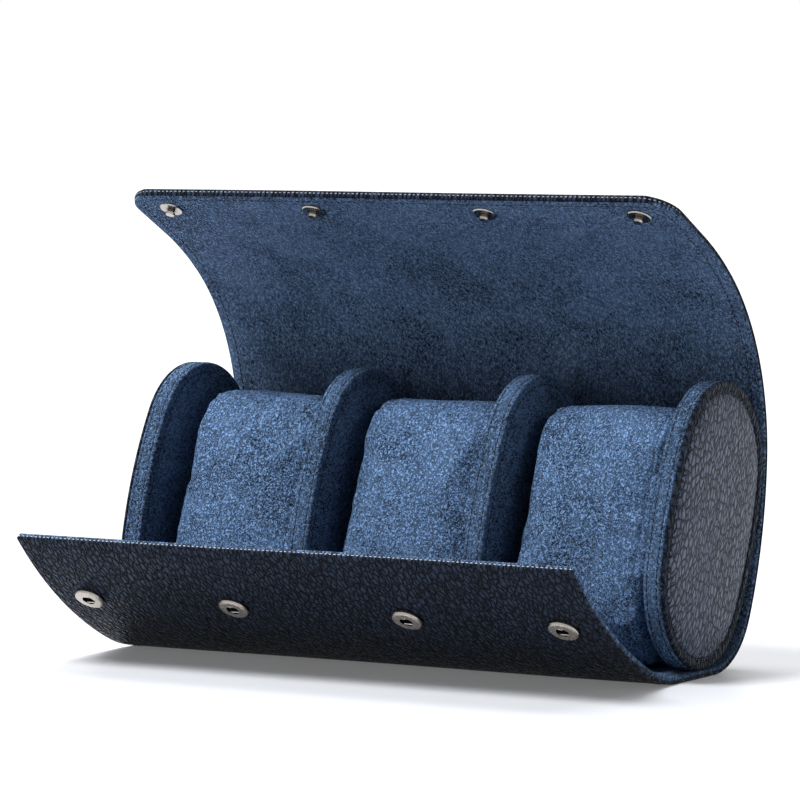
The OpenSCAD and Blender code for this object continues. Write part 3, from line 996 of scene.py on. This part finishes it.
    def stitches(self, zone: Zone) -> list[bpy.types.Object]:
        """Sews the seam near the edges, inside and outside, and the pale edge thread.

        Args:
            zone: the stretch of the wrap.

        Returns:
            The pieces of stitching that lie in it.
        """
        seam: Places = []
        edge: Places = []
        for (x, s), way in resampled(self.outline(self.stitch_inset), self.stitch_pitch):
            if zone.start <= s < zone.end:
                lift = self.ripple(x, s)
                for depth in self.stitch_depths:
                    seam.append((WRAP.point(x, s, lift + depth), WRAP.direction(s, *way)))
        corner = WRAP.total - self.lid_corner
        for (x, s), way in resampled(self.outline(0.02 * MM), self.edge_pitch):
            at_flap = s < 0.5 * MM
            if zone.start <= s < zone.end and (at_flap or s > corner):
                depth = self.edge_depths[0 if at_flap else 1] + self.ripple(x, s)
                edge.append((WRAP.point(x, s, depth), WRAP.direction(s, *way)))
        made = []
        if seam:
            made.append(StitchRow().sew(f"wrap_stitches_{zone.name}", seam))
        if edge:
            thread = Finish.EDGE_THREAD if zone.start == 0.0 else Finish.RIM_THREAD
            row = StitchRow(*self.edge_stitch, thread)
            made.append(row.sew(f"wrap_edge_stitches_{zone.name}", edge))
        return made

    def build(self) -> None:
        """Builds and settles every piece of the wrap."""
        for zone in wrap_zones():
            for layer, slot in ((self.leather, "wrap_leather"), (self.lining, "wrap_suede")):
                obj = self.piece(zone, layer)
                settle(obj, zone)
                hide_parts(*(zone.node.format(name) for name in layer.hidden))
            for obj in self.stitches(zone):
                settle(obj, zone)
            LOG.info("wrap %s: %.0f to %.0f mm", zone.name, zone.start / MM, zone.end / MM)


# ---- oval walls


@dataclass(frozen=True)
class Oval:
    """An oval of four arcs that leans back, in the plane across the roll."""

    length: float
    depth: float
    end_radius: float
    y: float
    z: float
    lean: float = LEAN

    def flat(self, inset: float, angle: float) -> Flat:
        """Finds a place on the oval in its own plane.

        Args:
            inset: how far the oval is drawn in.
            angle: the angle of the oval's normal there.

        Returns:
            The places along its short and its long axis.
        """
        a, b, r = self.length / 2, self.depth / 2, self.end_radius
        side = ((a - r) ** 2 + b * b - r * r) / (2 * (b - r))
        steep = math.atan2(abs(math.sin(angle)), abs(math.cos(angle)))
        if steep < math.atan2(a - r, side - b):
            u = (side - inset) * math.cos(steep) - (side - b)
            v = (side - inset) * math.sin(steep)
        else:
            u = (r - inset) * math.cos(steep)
            v = (r - inset) * math.sin(steep) + a - r
        return math.copysign(u, math.cos(angle)), math.copysign(v, math.sin(angle))

    def angles(self, count: int) -> list[float]:
        """Spreads places evenly round the oval's edge.

        Args:
            count: how many places.

        Returns:
            The angles of the normals there.
        """
        tries = 2880
        fine = [self.flat(0.0, 2 * math.pi * (k + 0.5) / tries) for k in range(tries)]
        run = np.cumsum([math.dist(fine[k], fine[k - 1]) for k in range(tries)])
        wanted = (np.arange(count) + 0.5) * run[-1] / count
        return [2 * math.pi * (p + 0.5) / tries for p in np.interp(wanted, run, np.arange(tries))]

    def place(self, x: float, u: float, v: float) -> Point:
        """Returns the point at x and at u and v in the oval's own plane."""
        c, s = math.cos(self.lean), math.sin(self.lean)
        return (x, self.y + u * c + v * s, self.z - u * s + v * c)

    def sewn(self, x: float, inset: float, pitch: float = 2.7 * MM) -> Places:
        """Spreads stitches round the oval.

        Args:
            x: where the row lies.
            inset: how far it is drawn in.
            pitch: distance between stitches.

        Returns:
            The stitches' places and directions.
        """
        rows = []
        for (u, v), (du, dv) in resampled([self.flat(inset, a) for a in self.angles(240)], pitch):
            tip = Vector(self.place(x, u + du, v + dv)) - Vector(self.place(x, u, v))
            rows.append((self.place(x, u, v), tuple(tip)))
        return rows


def wall_oval() -> Oval:
    """Returns the oval of the end caps and dividers."""
    lo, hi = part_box("divider_1_band")
    return Oval(115.5 * MM, 75.5 * MM, 36 * MM, (lo.y + hi.y) / 2, (lo.z + hi.z) / 2)


@dataclass
class Wall:
    """A wall covered in suede: a band round a board, with a sewn face on each suede side.

    The face's section is given by insets and dips in millimetres, from its middle outwards.
    """

    name: str
    left: float
    right: float
    faces: tuple[int, ...]
    nodes: tuple[str, ...]
    around: int = 168
    edge_radius: float = 1.0 * MM
    band_row: float = 1.75 * MM
    band_dip: float = 0.12 * MM
    band_flat: float = 2.3 * MM
    band_sink: float = 0.1 * MM
    face_row: float = 4.0 * MM
    face_sink: float = 0.2 * MM
    face: tuple[Flat, ...] = (
        (34, 0), (24, 0), (14, 0), (6, 0), (4.4, 0.1), (4.0, 0.32), (3.6, 0.1), (2.4, 0),
    )

    def profile(self) -> list[Flat]:
        """Draws the wall's section.

        Returns:
            Insets and x, from one face's middle to the other's.
        """
        half = [(inset * MM, self.right - dip * MM) for inset, dip in self.face]
        half += rounded_edge(self.edge_radius, self.right)
        half += [(self.band_dip, self.right - self.band_row), (0.0, self.right - self.band_flat)]
        middle = (self.left + self.right) / 2
        return half + [(inset, 2 * middle - x) for inset, x in reversed(half)]

    def build(self) -> None:
        """Builds the wall and its stitches."""
        oval = wall_oval()
        angles = oval.angles(self.around)
        profile = self.profile()
        points = [oval.place(x, *oval.flat(inset, a)) for inset, x in profile for a in angles]
        faces = tube_faces(len(profile), self.around)
        obj = mesh_object(self.name, points, faces, Finish.WALL_SUEDE)
        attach(obj, "case")
        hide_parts(*self.nodes)
        rows: Places = []
        for x in (self.left + self.band_row, self.right - self.band_row):
            rows += oval.sewn(x, self.band_sink)
        for side in self.faces:
            x = self.right if side > 0 else self.left
            rows += oval.sewn(x - side * self.face_sink, self.face_row)
        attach(StitchRow().sew(f"{self.name}_stitches", rows), "case")
        LOG.info("%s from x %.1f to %.1f mm", self.name, self.left / MM, self.right / MM)


@dataclass
class CapPad:
    """The padded leather outside of an end cap, sewn down inside a rolled rim.

    Its back, and the trough behind the rim, are given by insets and heights in millimetres, over
    the wall and over the leather's top.
    """

    name: str
    side: int
    base_x: float
    nodes: tuple[str, ...]
    around: int = 300
    roll: float = 1.3 * MM
    lip: float = 0.35 * MM
    rolled_strips: int = 12
    back: tuple[Flat, ...] = ((20, 0), (2.0, 0), (0.25, 0), (0, 0.25))
    trough: tuple[Flat, ...] = ((2.6, 0.3), (3.6, 0.1), (4.2, -0.25), (4.6, -0.45), (5.0, -0.2))
    rim: float = 4.6 * MM
    rise: float = 3.55 * MM
    leather: float = 1.1 * MM
    pad_middle: float = 31 * MM
    pad_rows: int = 21
    pad_spread: float = 1.55
    pad_dome: Flat = (2.6, 0.55)
    fold: float = 0.16 * MM
    fold_rise: float = 1.2 * MM
    fold_fade: float = 4.5 * MM
    stitch_sink: float = 0.3 * MM

    def profile(self) -> list[Flat]:
        """Draws the pad's section.

        Returns:
            Insets and heights over the wall, from the back round the rim to the middle.
        """
        top = self.leather
        rows = [(inset * MM, height * MM) for inset, height in self.back]
        rows += rounded_edge(self.roll, top + self.lip, 7)[-2::-1]
        rows += [(inset * MM, top + height * MM) for inset, height in self.trough]
        edge, foot = rows[-1]
        steep, full = self.pad_dome
        for k in range(1, self.pad_rows + 1):
            f = (k / self.pad_rows) ** self.pad_spread
            height = foot + (self.rise - top) * (1 - (1 - f) ** steep) ** full
            rows.append((edge + f * (self.pad_middle - edge), height))
        return rows

    def build(self) -> None:
        """Builds the pad, drawn into small folds along its seam, and its stitches."""
        oval = wall_oval()
        angles = oval.angles(self.around)
        phases = np.random.default_rng(11 + self.side).uniform(0, 2 * math.pi, 4)
        points, uv = [], []
        profile = self.profile()
        for inset, height in profile:
            past = inset - self.rim
            pull = float(smoothstep(past / self.fold_rise))
            pull *= math.exp(-max(0.0, past - self.fold_rise) / self.fold_fade)
            for k, angle in enumerate(angles):
                t = 2 * math.pi * k / self.around
                folds = math.sin(58 * t + phases[0] + 2 * math.sin(5 * t + phases[1]))
                folds += 0.6 * math.sin(91 * t + phases[2] + 2 * math.sin(7 * t + phases[3]))
                u, v = oval.flat(inset, angle)
                x = self.side * (self.base_x + height + self.fold * pull * folds)
                points.append(oval.place(x, u, v))
                uv.append((u, v))
        faces = tube_faces(len(profile), self.around)
        obj = mesh_object(self.name, points, faces, Finish.CAP_LEATHER, uv)
        obj.data.materials.append(Finish.WRAP_LEATHER.material())
        rolled = np.zeros(len(faces), np.int32)
        rolled[: self.rolled_strips * self.around] = 1
        obj.data.polygons.foreach_set("material_index", rolled)
        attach(obj, "case")
        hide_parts(*self.nodes)
        x = self.side * (self.base_x + self.leather - self.stitch_sink)
        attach(StitchRow().sew(f"{self.name}_stitches", oval.sewn(x, self.rim)), "case")
        LOG.info("%s with %d points", self.name, len(points))


# ---- cushions


@dataclass
class Cushion:
    """A removable watch cushion: a foam core in a suede sleeve with a sewn end each side."""

    number: int
    length: float = 105.55 * MM
    depth: float = 51.5 * MM
    end_radius: float = 25 * MM
    around: int = 72
    voxel: float = 3.2 * MM
    shrink: float = 1.2 * MM
    cap: float = 2.0 * MM
    frames: int = 20
    pressure: float = 4.0
    mass: float = 0.3
    stiffness: float = 18.0
    flattened: float = 0.8
    edge: float = 3.4 * MM
    proud: float = 1.3 * MM
    pucker: float = 0.42 * MM
    pucker_reach: float = 9 * MM
    sag: float = 0.35 * MM
    wave: float = 0.22 * MM
    seam_inset: float = 5.6 * MM
    seam_cuts: tuple[float, ...] = (-1.3, -0.6, 0.0, 0.6, 1.3)
    groove: float = 0.55 * MM
    stitch: Flat = (2.2 * MM, 0.45 * MM)
    pitch: float = 2.9 * MM

    def __post_init__(self) -> None:
        """Takes the cushion's place from its ends' box in the frame."""
        lo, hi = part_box(f"cushion_{self.number}_ends")
        self.middle = (lo.x + hi.x) / 2
        self.half = (hi.x - lo.x) / 2 + self.proud
        y, z = (lo.y + hi.y) / 2, (lo.z + hi.z) / 2
        self.oval = Oval(self.length, self.depth, self.end_radius, y, z)

    def body(self) -> bpy.types.Object:
        """Builds the stuffed cover and lets cloth tension round it.

        Returns:
            The cover.
        """
        angles = self.oval.angles(self.around)
        shrink = self.shrink
        half = self.half - shrink
        edge = self.edge - 1.5 * shrink
        section: list[Flat] = [(22 * MM, half + 0.2 * MM), (14 * MM, half + 0.1 * MM)]
        section += rounded_edge(edge, half)
        section += [(-0.15 * MM, half * 0.6), (-0.3 * MM, half * 0.25)]
        profile = section + [(inset, -x) for inset, x in reversed(section)]
        points = []
        for inset, x in profile:
            for angle in angles:
                flat = self.oval.flat(inset + shrink, angle)
                points.append(self.oval.place(self.middle + x, *flat))
        faces = tube_faces(len(profile), self.around)
        obj = mesh_object(f"cushion_{self.number}", points, faces, Finish.CUSHION_SUEDE)
        self.inflate(obj)
        self.fit(obj)
        return obj

    def inflate(self, obj: bpy.types.Object) -> None:
        """Swells the cover with a short cloth simulation, with a cap on its movement.

        Args:
            obj: the cover, a little smaller than the cushion.
        """
        remesh = obj.modifiers.new("remesh", "REMESH")
        remesh.mode = "VOXEL"
        remesh.voxel_size = self.voxel
        self.apply(obj)
        rest = points_of(obj.data)
        cloth = obj.modifiers.new("cloth", "CLOTH").settings
        cloth.use_pressure = True
        cloth.uniform_pressure_force = self.pressure
        cloth.effector_weights.gravity = 0.0
        cloth.mass = self.mass
        cloth.tension_stiffness = cloth.compression_stiffness = self.stiffness
        scene = bpy.context.scene
        scene.frame_start, scene.frame_end = 1, self.frames
        for number in range(1, self.frames + 1):
            scene.frame_set(number)
        soft = as_made(obj)
        moved = points_of(soft) - rest
        length = np.linalg.norm(moved, axis=1, keepdims=True)
        moved *= np.minimum(1.0, self.cap / np.maximum(length, 1e-9))
        obj.modifiers.clear()
        scene.frame_set(1)
        move_points(obj, rest + moved)
        bpy.data.meshes.remove(soft)
        subdivision = obj.modifiers.new("subdivision", "SUBSURF")
        subdivision.levels = subdivision.render_levels = 1
        self.apply(obj)

    @staticmethod
    def apply(obj: bpy.types.Object) -> None:
        """Turns the cover's modifiers into its mesh, smooth and still in suede.

        Args:
            obj: the cover.
        """
        keep_modifiers(obj)
        smooth(obj)
        if not obj.data.materials:
            obj.data.materials.append(Finish.CUSHION_SUEDE.material())

    def fit(self, obj: bpy.types.Object) -> None:
        """Brings the cover to the cushion's size, and puckers it near its sewn ends.

        Args:
            obj: the cover.
        """
        oval = self.oval
        c, s = math.cos(oval.lean), math.sin(oval.lean)
        across = np.array([0.0, c, -s])
        along = np.array([0.0, s, c])
        centre = np.array([self.middle, oval.y, oval.z])
        places = points_of(obj.data) - centre
        x, u, v = places[:, 0], places @ across, places @ along
        rim = np.hypot(u / oval.depth, v / oval.length) > 0.4
        x *= self.half / np.abs(x[rim]).max()
        swell = np.maximum(np.abs(x) - self.half, 0.0)
        x -= np.sign(x) * self.flattened * swell
        u *= (oval.depth / 2 + 0.5 * MM) / np.abs(u).max()
        v *= (oval.length / 2) / np.abs(v).max()
        turn = np.arctan2(v / oval.length, u / oval.depth)
        phase = 1.9 * self.number
        to_end = self.half - np.abs(x)
        folds = np.sin(19 * turn + phase + 1.4 * np.sin(3 * turn + 2 * phase))
        folds += 0.7 * np.sin(31 * turn - phase + 1.1 * np.sin(5 * turn))
        pucker = self.pucker * np.where(x > 0, 1.0, 0.6) * (1 + folds)
        pucker *= np.exp(-((to_end / self.pucker_reach) ** 2)) * smoothstep(to_end / (3 * MM))
        sag = self.sag * (1 + np.sin(2.3 * turn + 55 * x + phase))
        wave = self.wave * (1 + np.sin(95 * x + 6 * turn + phase))
        keep = 1 - (pucker + sag + wave) / np.maximum(np.hypot(u, v), 8 * MM)
        made = centre + np.outer(x, [1.0, 0.0, 0.0])
        move_points(obj, made + np.outer(u * keep, across) + np.outer(v * keep, along))

    def seam(self, obj: bpy.types.Object, x: float) -> Places:
        """Presses a sewn groove round the cover.

        Args:
            obj: the cover.
            x: where the groove lies.

        Returns:
            Places and directions for its stitches.
        """
        work = bmesh.new()
        work.from_mesh(obj.data)
        for offset in self.seam_cuts:
            geometry = work.verts[:] + work.edges[:] + work.faces[:]
            bmesh.ops.bisect_plane(
                work, geom=geometry, plane_co=(x + offset * MM, 0, 0), plane_no=(1, 0, 0), dist=1e-6
            )
        ring: list[Flat] = []
        for vertex in work.verts:
            away = abs(vertex.co.x - x) / MM
            y, z = vertex.co.y - self.oval.y, vertex.co.z - self.oval.z
            if away < 1.25 and math.hypot(y, z) > 0.6 * self.oval.depth / 2:
                keep = 1 - self.groove * (1 - away / 1.3) / math.hypot(y, z)
                vertex.co.y, vertex.co.z = self.oval.y + y * keep, self.oval.z + z * keep
                if away < 0.01:
                    ring.append((vertex.co.y, vertex.co.z))
        work.to_mesh(obj.data)
        work.free()
        ring.sort(key=lambda p: math.atan2(p[1] - self.oval.z, p[0] - self.oval.y))
        return [((x, y, z), (0.0, dy, dz)) for (y, z), (dy, dz) in resampled(ring, self.pitch)]

    def build(self) -> None:
        """Builds the cushion and its end seams."""
        obj = self.body()
        body = f"cushion_{self.number}"
        rows: Places = []
        for side in (-1, 1):
            rows += self.seam(obj, self.middle + side * (self.half - self.seam_inset))
        outward(obj)
        smooth(obj)
        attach(obj, body)
        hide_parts(f"{body}_foam", f"{body}_sleeve", f"{body}_ends")
        row = StitchRow(*self.stitch, Finish.CUSHION_THREAD)
        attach(row.sew(f"{body}_stitches", rows), body)
        LOG.info("%s with %d points", obj.name, len(obj.data.vertices))


# ---- studio


@dataclass(frozen=True)
class SoftLight:
    """A softbox aimed at the middle of the object."""

    name: str
    place: Point
    size: float
    power: float
    hidden: bool = False
    target: Point = (0.0, 0.0, 0.09)

    def build(self) -> None:
        """Adds the lamp."""
        data = bpy.data.lights.new(self.name, "AREA")
        data.shape = "SQUARE"
        data.size = self.size
        data.energy = self.power
        obj = linked(self.name, data)
        obj.visible_camera = obj.visible_glossy = not self.hidden
        obj.location = self.place
        aim = Vector(self.target) - Vector(self.place)
        obj.rotation_euler = aim.to_track_quat("-Z", "Y").to_euler()


@dataclass
class Studio:
    """The camera of the photograph, a pale floor and soft lamps."""

    camera_place: Point = (913.5 * MM, -1605.0 * MM, 220.0 * MM)
    yaw: float = math.radians(30.121)
    pitch: float = math.radians(3.588)
    roll: float = math.radians(0.227)
    focal_pixels: float = 4563.6
    image_pixels: float = 800.0
    sensor: float = 36.0
    ambient: float = 0.085
    floor_size: float = 40.0
    floor_colour: Colour = (0.66, 0.68, 0.72, 1.0)
    floor_white: float = 1.25
    floor_glow: float = 0.1
    fade_near: float = 0.17
    fade_far: float = 0.44
    lamps: tuple[SoftLight, ...] = (
        SoftLight("top", (-0.3, 0.65, 1.55), 1.1, 31.0),
        SoftLight("key", (-0.5, -0.8, 1.45), 0.6, 42.0),
        SoftLight("side", (1.6, -0.1, 0.6), 0.6, 3.2),
        SoftLight("bounce", (-0.25, -1.2, 0.06), 0.9, 5.5, True),
    )

    def camera(self) -> None:
        """Sets the camera."""
        data = bpy.data.cameras.new("camera")
        data.sensor_width = self.sensor
        data.lens = self.focal_pixels / self.image_pixels * self.sensor
        data.clip_end = 50.0
        obj = linked("camera", data)
        obj.matrix_world = (
            Matrix.Translation(self.camera_place)
            @ Matrix.Rotation(self.yaw, 4, "Z")
            @ Matrix.Rotation(math.pi / 2 - self.pitch, 4, "X")
            @ Matrix.Rotation(self.roll, 4, "Z")
        )
        bpy.context.scene.camera = obj

    @staticmethod
    def seen(tree: Tree) -> Link:
        """Tells rays of the camera and its reflections from those of the light.

        Args:
            tree: the material's or the world's tree.

        Returns:
            1 for a ray that is seen, and 0 for one that lights.
        """
        names = ("Is Camera Ray", "Is Glossy Ray", "Is Transmission Ray")
        camera, glossy, through = (tree.node("ShaderNodeLightPath", out=name) for name in names)
        return camera | glossy | through

    def world(self) -> None:
        """Sets an even white surround that lights softly."""
        world = bpy.data.worlds.new("studio")
        world.use_nodes = True
        bpy.context.scene.world = world
        tree = Tree(world.node_tree)
        strength = self.seen(tree) * (1.0 - self.ambient) + self.ambient
        light = tree.node("ShaderNodeBackground", inputs={"Color": grey(1.0), "Strength": strength})
        tree.node("ShaderNodeOutputWorld", inputs={"Surface": light})

    def floor(self) -> None:
        """Lays a pale floor that keeps the shadow and melts into the white."""
        size = self.floor_size
        points = [(-size, -size, 0.0), (size, -size, 0.0), (size, size, 0.0), (-size, size, 0.0)]
        mesh = bpy.data.meshes.new("floor")
        mesh.from_pydata(points, [], [(0, 1, 2, 3)])
        obj = linked("floor", mesh)
        material, tree = new_material("floor")
        inputs = {"Base Color": self.floor_colour, "Roughness": 0.4, "Specular IOR Level": 0.3}
        paper = tree.node("ShaderNodeBsdfPrincipled", inputs=inputs)
        inputs = {"Color": grey(1.0), "Strength": self.floor_white}
        glow = tree.node("ShaderNodeEmission", inputs=inputs)
        place = tree.node("ShaderNodeTexCoord", out="Object")
        away = tree.node("ShaderNodeVectorMath", {"operation": "LENGTH"}, {0: place}, out="Value")
        near, far = self.fade_near / 2, self.fade_far / 2
        fade = tree.ramp(away * 0.5, (near, self.floor_glow), (far, 1.0))
        inputs = {0: self.seen(tree) * fade, 1: paper, 2: glow}
        blend = tree.node("ShaderNodeMixShader", inputs=inputs)
        tree.node("ShaderNodeOutputMaterial", inputs={"Surface": blend})
        obj.data.materials.append(material)

    def build(self) -> None:
        """Sets the whole studio."""
        bpy.context.scene.view_settings.view_transform = "Standard"
        self.camera()
        self.world()
        self.floor()
        for lamp in self.lamps:
            lamp.build()


# ---- the whole roll


def dress_snaps() -> None:
    """Gives the snap fasteners their finishes."""
    finishes = {
        "snap_sockets": Finish.SNAP_METAL,
        "snap_studs": Finish.SNAP_METAL,
        "snap_socket_rivets": Finish.SNAP_METAL,
        "snap_stud_rivets": Finish.SNAP_METAL,
        "snap_socket_springs": Finish.SPRING,
    }
    for name, finish in finishes.items():
        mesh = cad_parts[name].data
        mesh.materials.clear()
        mesh.materials.append(finish.material())
        LOG.info("%s dressed in %s", name, finish.value.name)


def build_walls() -> None:
    """Builds the two dividers and the two end caps."""
    for number in (1, 2):
        lo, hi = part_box(f"divider_{number}_band")
        nodes = tuple(f"divider_{number}_{n}" for n in ("board", "band", "left_face", "right_face"))
        Wall(f"divider_{number}", lo.x, hi.x, (-1, 1), nodes).build()
    for name, side in (("left", -1), ("right", 1)):
        lo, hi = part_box(f"{name}_cap_band")
        nodes = tuple(f"{name}_cap_{n}" for n in ("board", "band", "lining"))
        Wall(f"{name}_cap_wall", lo.x, hi.x, (-side,), nodes).build()
        outer = max(abs(lo.x), abs(hi.x))
        pad_nodes = (f"{name}_cap_leather", f"{name}_cap_foam")
        CapPad(f"{name}_cap_pad", side, outer, pad_nodes).build()


def main() -> None:
    """Builds the studio and every piece of the roll."""
    logging.basicConfig(level=logging.INFO, format="%(message)s")
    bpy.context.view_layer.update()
    Studio().build()
    Wrap().build()
    build_walls()
    for number in (1, 2, 3):
        Cushion(number).build()
    dress_snaps()


if __name__ == "__main__":
    main()
